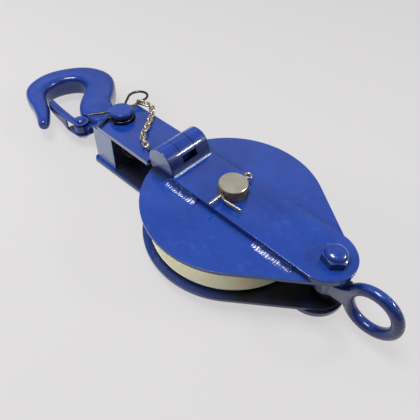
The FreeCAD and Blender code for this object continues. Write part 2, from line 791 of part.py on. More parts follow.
def latch_outline(pivot, low):
    """Face of the latch: a slightly bowed strip that runs out of a round eye on its near side."""
    root, length = value("latch_root_radius"), value("latch_length")
    near_tip = VECTOR(-length + 3, -0.66 * root, low)
    far_tip = VECTOR(-length, 0.18 * root, low)
    eye_near = VECTOR(0, -root, low)
    eye_far = on_circle(VECTOR(0, 0, low), root, 190)
    shapes = [
        Part.Arc(near_tip, VECTOR(-length / 2, -1.06 * root, low), eye_near),
        Part.Arc(eye_near, VECTOR(root, 0, low), eye_far),
        Part.Arc(eye_far, VECTOR(-length / 2, -0.1 * root, low), far_tip),
        Part.LineSegment(far_tip, near_tip),
    ]
    outline = Part.Face(Part.Wire([shape.toShape() for shape in shapes]))
    outline.translate(pivot)
    return outline


def latch():
    """Folded channel: a web on the outer side and a flange on either side of the hook's ear."""
    height, wall = value("latch_height"), value("latch_wall")
    length, root = value("latch_length"), value("latch_root_radius")
    pivot = VECTOR(-value(LATCH_REACH), -value("latch_offset"), 0)
    up = VECTOR(0, 0, 1)
    full = latch_outline(pivot, -height / 2).extrude(up * height)
    room = height - 2 * wall
    inside = latch_outline(pivot, -room / 2).extrude(up * room)
    inside.translate(VECTOR(0, 1.2 * wall, 0))
    ear_room = Part.makeBox(3 * root, 3 * root, room, pivot + VECTOR(-1.6 * root, -1.5 * root, -room / 2))
    tip_room = Part.makeBox(length, root, room, pivot + VECTOR(-length, 0, -room / 2))
    slope = [(-1.3 * root, -0.6), (-2.8 * root, -0.18), (-1.1 * length, -0.12), (-1.1 * length, -0.6)]
    corners = [pivot + VECTOR(x, -2 * root, share * height) for x, share in slope]
    under_slope = Part.Face(Part.makePolygon([*corners, corners[0]])).extrude(VECTOR(0, 4 * root, 0))
    hole = Part.makeCylinder(value("rivet_radius + running_gap"), 2 * height, pivot - up * height, up)
    shape_node("hook_latch", full.cut([inside, ear_room, tip_room, under_slope, hole]))
    rivet(pivot, height / 2 + 0.15)
    latch_spring(pivot, height / 2 - wall)


def rivet(pivot, grip):
    """Rivet of the latch: a domed head in front and a hexagon nut behind."""
    up = VECTOR(0, 0, 1)
    radius, head, rise = value("rivet_radius"), value("rivet_head_radius"), value("rivet_head_rise")
    ball = (head ** 2 + rise ** 2) / (2 * rise)
    dome = Part.makeSphere(ball, pivot + up * (grip + rise - ball))
    cap = dome.common(Part.makeCylinder(2 * head, rise, pivot + up * grip, up))
    bar = Part.makeCylinder(radius, 2 * grip + 6, pivot - up * (grip + 6), up)
    shape_node("latch_pin", bar.fuse(cap).removeSplitter())
    hexagon = hexagon_prism(2.1 * head, 5, pivot - up * (grip + 5))
    shape_node("latch_nut", hexagon.cut(Part.makeCylinder(radius, 20, pivot - up * (grip + 10), up)))


def hexagon_prism(flats, height, centre):
    """Hexagon across flats, with the corners of its top turned off by a cone."""
    reach, first_corner = flats / math.sqrt(3), 42
    points = [on_circle(centre, reach, first_corner + 60 * number) for number in range(6)]
    prism = Part.Face(Part.makePolygon([*points, points[0]])).extrude(VECTOR(0, 0, height))
    top_radius = 0.46 * flats
    cap = Part.makeCone(top_radius + 1.6 * height, top_radius, height, centre, VECTOR(0, 0, 1))
    return prism.common(cap)


def latch_spring(pivot, ceiling):
    """Torsion spring round the rivet, between the hook's ear and the latch's front flange."""
    wire = 0.7
    coil = value("rivet_radius") + wire + 0.4
    low = pivot + VECTOR(0, 0, value("latch_ear / 2") + wire + 0.15)
    rise = VECTOR(0, 0, ceiling - wire - 0.15) - VECTOR(0, 0, low.z)
    turns = around(low, coil, -90, 450, 6)
    turns = [corner + rise * (number / 5) for number, corner in enumerate(turns)]
    latch_leg = low + VECTOR(-15, -coil, 0)
    hook_leg = low + rise + VECTOR(14, coil, 0)
    corners = [latch_leg, *turns, hook_leg]
    shape_node("latch_spring", bent_wire(corners, [coil] * len(turns), wire))


def sheave():
    """Rope sheave with a V groove that ends in a round seat, and its bronze bush."""
    body = doc.addObject("PartDesign::Body", "sheave_body")
    sketch = new_sketch(body, "sheave_section", role="XZ_Plane")
    half, seat = "sheave_width / 2", "(rope_diameter / 2 + 0.5)"
    lip = "2.5"
    mouth = f"({half} - {lip})"
    seat_x = f"(sheave_radius - groove_depth + {seat})"
    shelf = f"({half} - web_recess)"
    corners = [
        ("bush_radius", f"-{half}"),
        ("thrust_radius + 4", f"-{half}"),
        ("thrust_radius + 8", f"-{shelf}"),
        (f"{seat_x} - {seat} - 8", f"-{shelf}"),
        (f"{seat_x} - {seat} - 3", f"-{half}"),
        ("sheave_radius - 1", f"-{half}"),
        ("sheave_radius", f"-{half} + 1"),
        ("sheave_radius", f"-{mouth}"),
        (f"{seat_x} - {seat} * 0.26", f"-{seat} * 0.966"),
        (f"{seat_x} - {seat} * 0.26", f"{seat} * 0.966"),
        ("sheave_radius", mouth),
        ("sheave_radius", f"{half} - 1"),
        ("sheave_radius - 1", half),
        (f"{seat_x} - {seat} - 3", half),
        (f"{seat_x} - {seat} - 8", shelf),
        ("thrust_radius + 8", shelf),
        ("thrust_radius + 4", half),
        ("bush_radius", half),
    ]
    add_outline(sketch, corners, {8: (f"{seat_x} - {seat}", "0", seat_x)})
    turned = body.newObject("PartDesign::Revolution", "sheave_turned")
    turned.Profile = sketch
    turned.ReferenceAxis = (sketch, ["V_Axis"])
    turned.Angle = 360
    keep("sheave", body)
    raw = cylinder("bush_raw", "bush_radius", "sheave_width", z=f"-{half}")
    bore = cylinder("bush_bore", "axle_radius + running_gap", "2 * sheave_width", z="-sheave_width")
    keep("sheave_bush", cut("bush_cut", raw, bore))


def thrust_washers():
    """A washer on each side of the sheave, between it and the cheek."""
    gap = "(cheek_gap - sheave_width) / 2"
    wall = f"({gap} - end_play)"
    rings = []
    for side, low in (("front", f"{CHEEK_IN} - {wall}"), ("rear", f"-{CHEEK_IN}")):
        raw = cylinder(f"thrust_{side}_raw", "thrust_radius", wall, z=low)
        bore = cylinder(f"thrust_{side}_bore", "axle_radius", f"3 * {wall}", z=f"{low} - {wall}")
        rings.append(cut(f"thrust_{side}", raw, bore))
    both = doc.addObject("Part::Compound", "thrust_pair")
    both.Links = rings
    keep("thrust_washers", both)


def axle():
    """Headed axle from the rear, cross-drilled for a split cotter at its front end."""
    top = f"({STRAP_OUT} + axle_stand)"
    bar = cylinder(
        "axle_bar", "axle_radius", f"{top} - axle_chamfer + {STRAP_OUT}", z=f"-{STRAP_OUT}"
    )
    nose = cone(
        "axle_nose", "axle_radius", "axle_radius - axle_chamfer", "axle_chamfer", z=f"{top} - axle_chamfer"
    )
    head = cylinder("axle_head", "axle_head_radius", "axle_head_wall", z=f"-{STRAP_OUT} - axle_head_wall")
    cross = cylinder(
        "cotter_hole", "2 * cotter_wire + running_gap", "4 * axle_radius",
        0, "-2 * axle_radius", f"{STRAP_OUT} + cotter_height", "Y",
    )
    drilled = cut("axle_cut", fuse("axle_raw", bar, nose, head), cross)
    rim = round_edges(
        "axle_rim", drilled, "edge_round",
        lambda edge: abs(edge.BoundBox.ZMax - value(f"-{STRAP_OUT} - axle_head_wall")) < 0.01,
    )
    keep("axle", rim)
    cotter()


def cotter():
    """Split cotter: a round eye on the far side, one leg straight and one bent round to the tail."""
    wire = value("cotter_wire")
    middle = VECTOR(0, 0, value(f"{STRAP_OUT} + cotter_height"))
    eye_radius = 2.1 * wire
    edge = value("axle_radius")
    eye = middle + VECTOR(0, edge + eye_radius + 2.6 * wire, 0)
    leg = VECTOR(0.85 * wire, 0, 0)
    root = eye - VECTOR(0, 2 * wire, 0)
    straight = Part.makeCylinder(
        wire, root.y + edge + 20, middle - leg - VECTOR(0, edge + 20, 0), VECTOR(0, 1, 0)
    )
    turn = middle + leg - VECTOR(0, edge + 3 * wire, 0)
    bent = bent_wire([root + leg, turn, turn + VECTOR(26, 1.5, 0)], [3.5 * wire], wire)
    ring = Part.makeTorus(eye_radius, wire, eye, VECTOR(0, 0, 1))
    shape_node("axle_cotter", straight.fuse([bent, ring]).removeSplitter())


def tail_bolt():
    """Hexagon bolt through both sides, with its head and washer at the rear and its nut in front."""
    centre = VECTOR(value("bolt_reach"), 0, 0)
    up = VECTOR(0, 0, 1)
    outer, washer = value(STRAP_OUT), value("bolt_washer_wall")
    nut_wall, head_wall = value("bolt_nut_wall"), value("bolt_head_wall")
    radius, stub, flats = value("bolt_radius"), value("bolt_stub"), value("bolt_flats")
    shaft = Part.makeCylinder(radius, 2 * outer + washer + nut_wall, centre - up * (outer + washer), up)
    dome = Part.makeCone(radius, radius - stub / 2, stub, centre + up * (outer + nut_wall), up)
    head = hexagon_prism(flats, head_wall, VECTOR(0, 0, 0))
    head.Placement = FreeCAD.Placement(centre - up * (outer + washer), FreeCAD.Rotation(VECTOR(0, 1, 0), 180))
    shape_node("tail_bolt", shaft.fuse([dome, head]).removeSplitter())
    bore = Part.makeCylinder(radius, 4 * outer, centre - up * 2 * outer, up)
    ring = Part.makeCylinder(value("bolt_washer_radius"), washer, centre - up * (outer + washer), up)
    shape_node("tail_washer", ring.cut(bore))
    shape_node("tail_nut", hexagon_prism(flats, nut_wall, centre + up * outer).cut(bore))


def eye_spacers():
    """Collars on the tail bolt that hold the ring's eye in the middle."""
    gap = f"({CHEEK_IN} - eye_wall / 2 - end_play)"
    collars = []
    for side, low in (("front", f"{CHEEK_IN} - {gap}"), ("rear", f"-{CHEEK_IN}")):
        raw = cylinder(f"collar_{side}_raw", "spacer_radius", gap, "bolt_reach", 0, low)
        bore = cylinder(f"collar_{side}_bore", "bolt_radius", f"3 * {gap}", "bolt_reach", 0, f"{low} - {gap}")
        collars.append(cut(f"collar_{side}", raw, bore))
    both = doc.addObject("Part::Compound", "collar_pair")
    both.Links = collars
    keep("eye_spacers", both)


def rounded_frame(x, half_width, half_height, corner):
    """Rounded rectangle across the block's long axis."""
    wide, tall = half_width - corner, half_height - corner
    points = []
    for side_y, side_z, first in ((1, 1, 0), (-1, 1, 90), (-1, -1, 180), (1, -1, 270)):
        for degrees in (first, first + 45, first + 90):
            angle = math.radians(degrees)
            level = VECTOR(0, math.cos(angle), math.sin(angle)) * corner
            points.append(VECTOR(x, side_y * wide, side_z * tall) + level)
    edges = []
    for number in range(4):
        start, middle, stop = points[3 * number:3 * number + 3]
        edges.append(Part.Arc(start, middle, stop).toShape())
        edges.append(Part.LineSegment(stop, points[(3 * number + 3) % 12]).toShape())
    return Part.Wire(edges)


def tail_ring():
    """Forged ring with a flat eye: the eye turns on the tail bolt, the ring stands across the cheeks."""
    bolt_x, ring_x = value("bolt_reach"), value("bolt_reach + ring_stand")
    wall, eye = value("eye_wall"), value("eye_radius")
    major, bar = value("ring_radius"), value("ring_bar")
    boss = Part.makeCylinder(eye, wall, VECTOR(bolt_x, 0, -wall / 2), VECTOR(0, 0, 1))
    inner_x = ring_x - major - bar
    frames = [
        rounded_frame(bolt_x + 2, eye - 2, wall / 2, 1.5),
        rounded_frame(bolt_x + eye, eye - 4, wall / 2, 2),
        rounded_frame(inner_x + bar, bar, wall / 2 + 5, 4),
    ]
    neck = Part.makeLoft(frames, True, False)
    ring = Part.makeTorus(major, bar, VECTOR(ring_x, 0, 0), VECTOR(0, 1, 0))
    whole = ring.fuse([neck, boss]).removeSplitter()
    up = VECTOR(0, 0, 1)
    whole.rotate(VECTOR(bolt_x, 0, 0), up, -value("ring_swing"))
    hole = Part.makeCylinder(value("bolt_radius + running_gap"), 4 * wall, VECTOR(bolt_x, 0, -2 * wall), up)
    shape_node("tail_ring", whole.cut(hole))


def stitch_welds(name, face, outwards):
    """Fillet beads between a strap and its cheek, a stitch at each end on both sides."""
    beads = []
    starts = {"head": f"-{STRAP_START} - weld_overrun", "tail": "tail_reach - weld_tail_inset"}
    for label, low_x in starts.items():
        for side, far in ((1, "far"), (-1, "near")):
            middle = f"{side} * strap_width / 2"
            bead = cylinder(f"{name}_{label}_{far}_bar", "weld_leg", "weld_length", low_x, middle, face, "X")
            low_z = face if outwards > 0 else f"{face} - weld_leg"
            low_y = middle if side > 0 else f"{middle} - weld_leg"
            corner = block(
                f"{name}_{label}_{far}_box", "weld_length", "weld_leg", "weld_leg", low_x, low_y, low_z
            )
            beads.append(common(f"{name}_{label}_{far}", bead, corner))
    group = doc.addObject("Part::Compound", name + "_group")
    group.Links = beads
    keep(name, group)


def build():
    """Every sub-part, in the order in which the block goes together."""
    cheeks()
    front_strap()
    rear_strap()
    strap_hinge()
    gate()
    head_block()
    locking_pin()
    hairpin_clip()
    chain()
    hook()
    hook_nut()
    latch()
    sheave()
    thrust_washers()
    axle()
    tail_bolt()
    eye_spacers()
    tail_ring()
    stitch_welds("front_welds", CHEEK_OUT, 1)
    stitch_welds("rear_welds", f"-{CHEEK_OUT}", -1)
    doc.recompute()


def export():
    """Check every object and every sub-part, then write one file for each sub-part."""
    failed = [thing.Name for thing in doc.Objects if {"Invalid", "Error"} & set(thing.State)]
    for name, thing in nodes.items():
        if thing.Shape.isNull() or not thing.Shape.isValid() or not thing.Shape.Solids:
            failed.append(name)
    if failed:
        raise RuntimeError("failed: " + ", ".join(failed))
    os.makedirs("parts", exist_ok=True)
    for name, thing in nodes.items():
        thing.Shape.exportStep(f"parts/{name}.step")
        box = thing.Shape.BoundBox
        size = f"{box.XLength:.1f} x {box.YLength:.1f} x {box.ZLength:.1f} mm"
        print(f"{name}: {len(thing.Shape.Solids)} solids, {thing.Shape.Volume:.0f} mm3, {size}")


build()
export()
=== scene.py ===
import json
import math

import bmesh
import bpy
from mathutils import Matrix, Vector


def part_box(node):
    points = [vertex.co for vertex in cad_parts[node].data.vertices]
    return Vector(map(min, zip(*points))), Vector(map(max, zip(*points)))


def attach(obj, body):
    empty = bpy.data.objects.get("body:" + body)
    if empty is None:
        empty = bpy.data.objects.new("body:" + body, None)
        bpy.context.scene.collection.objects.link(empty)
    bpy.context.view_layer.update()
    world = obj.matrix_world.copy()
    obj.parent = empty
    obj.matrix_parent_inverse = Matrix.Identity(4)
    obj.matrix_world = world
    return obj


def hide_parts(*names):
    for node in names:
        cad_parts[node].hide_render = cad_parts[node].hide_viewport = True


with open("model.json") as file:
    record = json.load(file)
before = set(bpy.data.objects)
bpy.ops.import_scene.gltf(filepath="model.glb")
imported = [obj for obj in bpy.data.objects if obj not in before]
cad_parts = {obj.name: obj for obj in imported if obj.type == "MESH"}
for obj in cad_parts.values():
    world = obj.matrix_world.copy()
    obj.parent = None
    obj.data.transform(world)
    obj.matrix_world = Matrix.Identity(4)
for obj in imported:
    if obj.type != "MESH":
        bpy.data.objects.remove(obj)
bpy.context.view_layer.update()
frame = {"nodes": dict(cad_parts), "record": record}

MM = 0.001
record = frame["record"]
slot_of = {row["node"]: row["material_slot"] for row in record["subparts"]}
body_of = {node: body for body, members in record["behaviour"]["bodies"].items() for node in members}


# Places on the block, read from the frame

def points_of(node):
    """Corners of a node's mesh."""
    return [vertex.co for vertex in frame["nodes"][node].data.vertices]


CHEEK_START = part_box("front_cheek")[0].x
CHEEK_IN, CHEEK_OUT = (corner.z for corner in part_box("front_cheek"))
STRAP_EDGE, STRAP_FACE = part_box("front_strap")[1].y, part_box("front_strap")[1].z
BLOCK_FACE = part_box("cross_block")[1].x
SHEAVE_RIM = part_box("sheave")[1].x
AXLE_RADIUS = max(point.x for point in points_of("axle") if point.z > STRAP_FACE)
BARREL_LEVEL = STRAP_FACE + 5 * MM
KNUCKLE_JOINT = max(point.y for point in points_of("gate_plate") if point.z > BARREL_LEVEL)


# Node trees

class Value:
    """Output of a node that can stand in a sum; each sum adds its Math node."""

    def __init__(self, tree, socket):
        self.tree = tree
        self.socket = socket

    def maths(self, operation, *others):
        """Math node with this value in its first socket."""
        return self.tree.node("ShaderNodeMath", {"operation": operation}, dict(enumerate((self, *others))))

    def after(self, operation, first):
        """Math node with this value in its second socket."""
        return self.tree.node("ShaderNodeMath", {"operation": operation}, {0: first, 1: self})

    def __add__(self, other):
        return self.maths("ADD", other)

    def __sub__(self, other):
        return self.maths("SUBTRACT", other)

    def __rsub__(self, other):
        return self.after("SUBTRACT", other)

    def __mul__(self, other):
        return self.maths("MULTIPLY", other)

    def __truediv__(self, other):
        return self.maths("DIVIDE", other)

    def __rtruediv__(self, other):
        return self.after("DIVIDE", other)

    def __pow__(self, other):
        return self.maths("POWER", other)

    def __abs__(self):
        return self.maths("ABSOLUTE")

    def __lt__(self, other):
        return self.maths("LESS_THAN", other)

    def __gt__(self, other):
        return self.maths("GREATER_THAN", other)

    __radd__ = __add__
    __rmul__ = __mul__


MIX_FIRST, MIX_SECOND, MIX_RESULT = 6, 7, 2     # colour sockets of a Mix node


class Tree:
    """A node tree, of a material, the world or Geometry Nodes, that is built from values."""

    def __init__(self, tree):
        self.tree = tree

    def node(self, kind, settings=None, inputs=None, output=0):
        """Add a node with its settings, then its sockets' values or links; gives one of its outputs."""
        made = self.tree.nodes.new(kind)
        for key, setting in (settings or {}).items():
            if key == "stops":
                ramp = made.color_ramp.elements
                while len(ramp) < len(setting):
                    ramp.new(0.5)
                for stop, (position, shade) in zip(ramp, setting):
                    stop.position = position
                    stop.color = (shade, shade, shade, 1)
            else:
                setattr(made, key, setting)
        for key, given in (inputs or {}).items():
            socket = made.inputs[key]
            if isinstance(given, Value):
                self.tree.links.new(given.socket, socket)
            else:
                socket.default_value = (*given, 1) if socket.type == "RGBA" else given
        if made.outputs:
            return Value(self, made.outputs[output])

    def output_of(self, value, name):
        """Another output of the node that gave a value."""
        return Value(self, value.socket.node.outputs[name])

    def parts(self, vector):
        """Three numbers of a vector."""
        split = self.node("ShaderNodeSeparateXYZ", {}, {0: vector})
        return [self.output_of(split, letter) for letter in "XYZ"]

    def blend(self, share, first, second):
        """Colour between two colours."""
        inputs = {"Factor": share, MIX_FIRST: first, MIX_SECOND: second}
        return self.node("ShaderNodeMix", {"data_type": "RGBA"}, inputs, MIX_RESULT)

    def ramp(self, value, low, high, bottom=0.0, top=1.0):
        """Bottom where the value is low or past it, top where it is high or past it, straight between."""
        limits = {"Value": value, "From Min": low, "From Max": high, "To Min": bottom, "To Max": top}
        return self.node("ShaderNodeMapRange", {"clamp": True}, limits)


class Finish(Tree):
    """Material whose pattern follows the piece's own coordinates."""

    def __init__(self, name):
        self.material = bpy.data.materials.new(name)
        self.material.use_nodes = True
        super().__init__(self.material.node_tree)
        self.tree.nodes.clear()
        self.place = self.node("ShaderNodeTexCoord", output="Object")

    def noise(self, per_metre, detail, roughness):
        """Cloudy pattern from 0 to 1, about its number of blots in a metre."""
        sizes = {"Vector": self.place, "Scale": per_metre, "Detail": detail, "Roughness": roughness}
        return self.node("ShaderNodeTexNoise", {}, sizes)

    def bump(self, height, depth=1.0):
        """Normal of a surface whose height is counted in this depth, which is in millimetres."""
        return self.node("ShaderNodeBump", {}, {"Height": height, "Distance": depth * MM, "Strength": 1.0})

    def finish(self, **sockets):
        """End the material in a Principled shader with these sockets."""
        inputs = {key.replace("_", " "): given for key, given in sockets.items()}
        shader = self.node("ShaderNodeBsdfPrincipled", {}, inputs)
        self.node("ShaderNodeOutputMaterial", {}, {"Surface": shader})
        return self.material


# Finishes: depths are in millimetres, and a noise is its blots in a metre, detail and roughness

BLUE = (0.007, 0.053, 0.35)
BLUE_WORN = (0.03, 0.11, 0.43)
BLUE_DEEP = (0.005, 0.037, 0.275)
BLUE_THICK = (0.003, 0.020, 0.17)
# Dark navy of the painted shade on upright faces, also the colour of the dark joints
BLUE_SIDE_SHADE_AND_JOINTS = (0.005, 0.012, 0.075)
# Pale blues of the highlight painted along the hinge's seam
BLUE_SEAM_HIGHLIGHT, BLUE_SEAM_HIGHLIGHT_PALE = (0.20, 0.26, 0.50), (0.42, 0.50, 0.72)
# Lavender grey painted on end faces as the pale floor's reflection
PALE_END_REFLECTION = (0.19, 0.235, 0.34)
# Near black of the shade painted inside the block
INSIDE_SHADE_DARK = (0.006, 0.008, 0.013)
CREAM, CREAM_PALE, ROPE_GRIME = (0.87, 0.83, 0.60), (0.91, 0.89, 0.71), (0.40, 0.34, 0.19)
STEEL_BRIGHT, STEEL_DULL = (0.92, 0.86, 0.71), (0.70, 0.64, 0.52)
STEEL_SIDE_DARK, STEEL_SIDE_DARK_PALE = (0.05, 0.042, 0.04), (0.20, 0.17, 0.14)

# Where end faces get a pale coat that paints the floor's reflection: the axis along which it fades, where
# it begins and where it is full
RING_SHANK = ("x", 160 * MM, 150 * MM)
BLOCK_ENDS = ("z", -30 * MM, -22 * MM)
HINGE_ENDS = ("z", 31 * MM, 38 * MM)


def from_axle(paint):
    """Distance from the sheave's axis."""
    x, y = paint.parts(paint.place)[:2]
    return (x * x + y * y) ** 0.5


def painted_shade_inside(paint):
    """Where shade is painted in near black: between the cheeks, in the head box and on a ledge at the tail.
    """
    x, y, z = paint.parts(paint.place)
    upwards = paint.parts(paint.node("ShaderNodeTexCoord", output="Normal"))[2]
    near_rim = paint.ramp(from_axle(paint), SHEAVE_RIM - 4 * MM, SHEAVE_RIM + 3 * MM)
    # The painted shade fades near the sheave's rim on the head side, where light gets in
    rim_lit = 0.6 * near_rim * paint.ramp(x, 70 * MM, 30 * MM)
    between_cheeks = (abs(z) < CHEEK_IN + 0.2 * MM) * (x > CHEEK_START - 1 * MM)
    in_length = (x > BLOCK_FACE - 0.3 * MM) * (x < CHEEK_START + 30 * MM)
    in_box = in_length * (abs(z) < CHEEK_OUT + 0.3 * MM) * paint.ramp(abs(y), 44 * MM, 30 * MM)
    on_ledge = (x > 40 * MM) * (z < 0.3 * MM - CHEEK_OUT) * (upwards > 0.3)
    return (between_cheeks * (1 - rim_lit)).maths("MAXIMUM", in_box).maths("MAXIMUM", on_ledge)


def blue_enamel(name, lumps_per_metre, lump_depth, sides=0.85, steep=(0.92, 0.45), mottle=0.2,
                with_painted_shade=False, jointed=False, pale_ends_where=None):
    """Gloss enamel over steel: uneven coats, brush marks, painted shade on upright faces, lumps of the
    metal below.

    Sides is how dark the painted shade on an upright face gets, and steep from which to which upward part
    of its normal.
    Mottle is how much its thick blots show. The inside flag paints shade inside the block and along the
    foot of the straps, jointed adds the dirt between the knuckles, and the pale ends paint the floor's
    reflection on end faces.
    """
    paint = Finish(name)
    x, y, z = paint.parts(paint.place)
    along, upwards = paint.parts(paint.node("ShaderNodeTexCoord", output="Normal"))[1:]
    coats = paint.noise(26, 3.0, 0.55)
    marks = paint.noise(240, 3.0, 0.7)
    rubbed = paint.ramp(paint.noise(70, 4.0, 0.65), 0.56, 0.80)
    thick = paint.ramp(paint.noise(190, 4.0, 0.7), 0.48, 0.70)
    colour = paint.blend(paint.ramp(coats * 0.6 + marks * 0.4, 0.38, 0.62), BLUE_DEEP, BLUE)
    colour = paint.blend(rubbed * 0.35, colour, BLUE_WORN)
    colour = paint.blend(thick * mottle, colour, BLUE_THICK)
    # Painted shade: faces get darker the more their normal leans away from straight up
    side_shade = paint.ramp(abs(upwards), *steep)
    if with_painted_shade:
        # Painted shade: a dark line on the cheek along the foot of each strap, where the strap shades the
        # corner
        off_strap = abs(y) - STRAP_EDGE
        foot = paint.ramp(off_strap, 1.8 * MM, 0.9 * MM) * (off_strap > -0.4 * MM)
        on_cheek = paint.ramp(abs(z), CHEEK_OUT + 0.8 * MM, CHEEK_OUT + 0.3 * MM)
        side_shade = side_shade.maths("MAXIMUM", foot * on_cheek)
    colour = paint.blend(side_shade * sides, colour, BLUE_SIDE_SHADE_AND_JOINTS)
    # Painted reflection: end faces turn pale towards the floor's lavender grey
    if pale_ends_where:
        axis, pale_from, pale_to = pale_ends_where
        ends = paint.ramp(abs(along), 0.80, 0.97) * paint.ramp({"x": x, "z": z}[axis], pale_from, pale_to)
        colour = paint.blend(ends * (0.55 + 0.45 * coats), colour, PALE_END_REFLECTION)
    if jointed:
        in_joint = paint.ramp(abs(abs(y) - KNUCKLE_JOINT), 1.0 * MM, 0.5 * MM)
        on_barrel = z > STRAP_FACE + 0.3 * MM
        colour = paint.blend(in_joint * on_barrel * 0.9, colour, BLUE_SIDE_SHADE_AND_JOINTS)
    # Painted shade inside the block, made uneven by blots; it also roughens the paint
    inside_shade = 0.0
    if with_painted_shade:
        shade_blots = paint.ramp(paint.noise(45, 3.0, 0.6), 0.25, 0.60, 0.85, 1.0)
        inside_shade = painted_shade_inside(paint) * shade_blots
        colour = paint.blend(inside_shade, colour, INSIDE_SHADE_DARK)
    peel = paint.noise(650, 1.0, 0.4)
    lumps = paint.noise(lumps_per_metre, 2.0, 0.5)
    # The painted shade, inside and on upright faces, also takes away much of the coat's gloss
    return paint.finish(
        Base_Color=colour,
        Roughness=0.30 + 0.14 * rubbed + 0.30 * inside_shade,
        Coat_Weight=(1.0 - 0.9 * inside_shade) * (1.0 - 0.5 * side_shade * sides),
        Coat_Roughness=0.04,
        Coat_IOR=1.5,
        Specular_IOR_Level=0.4,
        Normal=paint.bump(lumps * lump_depth + peel * 0.008),
    )


def rubbed_enamel():
    """Pale enamel that paints the white highlight along the hinge's seam, in blots."""
    paint = Finish("rubbed_enamel")
    rubbed = paint.ramp(paint.noise(300, 3.0, 0.6), 0.35, 0.65)
    colour = paint.blend(rubbed, BLUE_SEAM_HIGHLIGHT, BLUE_SEAM_HIGHLIGHT_PALE)
    return paint.finish(Base_Color=colour, Roughness=0.35, Coat_Weight=1.0, Coat_Roughness=0.05)


def turning_rings(metal, pitch):
    """Tool marks of a lathe, round the sheave's axis, from 0 to 1; the pitch is in millimetres."""
    z = metal.parts(metal.place)[2]
    wobble = metal.noise(300, 1.0, 0.4) * (0.35 * pitch * MM)
    phase = (from_axle(metal) + z + wobble) * (2 * math.pi / (pitch * MM))
    return phase.maths("SINE") * 0.5 + 0.5


def cream_nylon():
    """Cast nylon turned on a lathe: cream, a little cloudy, with fine rings and rope marks."""
    nylon = Finish("cream_nylon")
    cloud = nylon.ramp(nylon.noise(40, 3.0, 0.6), 0.3, 0.7)
    grime = nylon.ramp(nylon.noise(120, 4.0, 0.6), 0.62, 0.85)
    colour = nylon.blend(cloud, CREAM, CREAM_PALE)
    colour = nylon.blend(grime * 0.5, colour, ROPE_GRIME)
    return nylon.finish(
        Base_Color=colour,
        Roughness=0.42 + 0.15 * grime,
        Subsurface_Weight=0.12,
        Subsurface_Scale=4 * MM,
        Normal=nylon.bump(turning_rings(nylon, 0.9), 0.03),
    )


def turned_steel():
    """Turned steel of the axle: a bright end, and a darker, rougher side that is less metallic."""
    steel = Finish("turned_steel")
    side = steel.ramp(from_axle(steel), AXLE_RADIUS - 0.6 * MM, AXLE_RADIUS - 0.2 * MM)
    film = steel.ramp(steel.noise(130, 3.0, 0.6), 0.30, 0.75)
    end = steel.blend(film * 0.35 + turning_rings(steel, 3.5) * 0.3, STEEL_BRIGHT, STEEL_DULL)
    return steel.finish(
        Base_Color=steel.blend(side, end, steel.blend(film, STEEL_SIDE_DARK, STEEL_SIDE_DARK_PALE)),
        Metallic=1.0 - 0.85 * side,
        Roughness=0.34 + 0.22 * side,
        Normal=steel.bump(turning_rings(steel, 0.45), 0.03),
    )


def plain_metal(name, bright, dull, roughness):
    """Plated or oiled metal with a cloudy film."""
    metal = Finish(name)
    film = metal.ramp(metal.noise(220, 4.0, 0.6), 0.35, 0.72)
    return metal.finish(
        Base_Color=metal.blend(film, bright, dull),
        Metallic=1.0,
        Roughness=roughness + 0.16 * film,
        Normal=metal.bump(metal.noise(900, 2.0, 0.5), 0.012),
    )


slot_finishes = {
    "blue_enamel": blue_enamel("blue_enamel_on_plate", 55, 0.05, with_painted_shade=True),
    "cream_nylon": cream_nylon(),
    "turned_steel": turned_steel(),
    "zinc_steel": plain_metal("zinc_plate", (0.62, 0.60, 0.55), (0.33, 0.32, 0.30), 0.26),
    "spring_steel": plain_metal("oiled_spring", (0.22, 0.23, 0.25), (0.08, 0.08, 0.09), 0.30),
    "clip_wire": plain_metal("clip_plate", (0.15, 0.13, 0.10), (0.04, 0.035, 0.03), 0.22),
    "chain_brass": plain_metal("chain_plate", (0.92, 0.87, 0.70), (0.55, 0.48, 0.34), 0.26),
    "bronze": plain_metal("oiled_bronze", (0.52, 0.33, 0.13), (0.22, 0.12, 0.05), 0.32),
}
# Sides and steep set how much painted shade each enamel gets on its upright faces
smooth_forging = blue_enamel("blue_enamel_on_hook", 70, 0.16, sides=0.6, mottle=0.7)
rough_forging = blue_enamel(
    "blue_enamel_on_ring", 240, 0.95, steep=(1.0, 0.60), mottle=0.95, pale_ends_where=RING_SHANK,
)
block_enamel = blue_enamel(
    "blue_enamel_on_ends", 60, 0.05, sides=0.5, with_painted_shade=True, jointed=True, pale_ends_where=BLOCK_ENDS,
)
hinge_enamel = blue_enamel("blue_enamel_on_hinge", 60, 0.05, jointed=True, pale_ends_where=HINGE_ENDS)
weld_enamel = blue_enamel("blue_enamel_on_weld", 400, 0.12, steep=(0.93, 0.80))
seam_highlight_paint = rubbed_enamel()
nut_enamel = blue_enamel("blue_enamel_on_nut", 120, 0.12, sides=1.0)
# The spacers inside the head box are painted near black, as the shade there
greasy_steel = plain_metal("greasy_steel", (0.05, 0.05, 0.05), (0.02, 0.02, 0.02), 0.45)
piece_finishes = {
    "hook": smooth_forging, "tail_ring": rough_forging,
    "cross_block": block_enamel, "gate_plate": block_enamel,
    "strap_hinge": hinge_enamel, "hinge_pin": hinge_enamel,
    "tail_nut": nut_enamel, "tail_bolt": nut_enamel,
    "eye_spacers": greasy_steel,
}


# Pieces that keep the frame's shape

MERGE_DISTANCE = 0.002 * MM
FLAT_WITHIN = math.radians(0.15)
CREASE = math.radians(30)

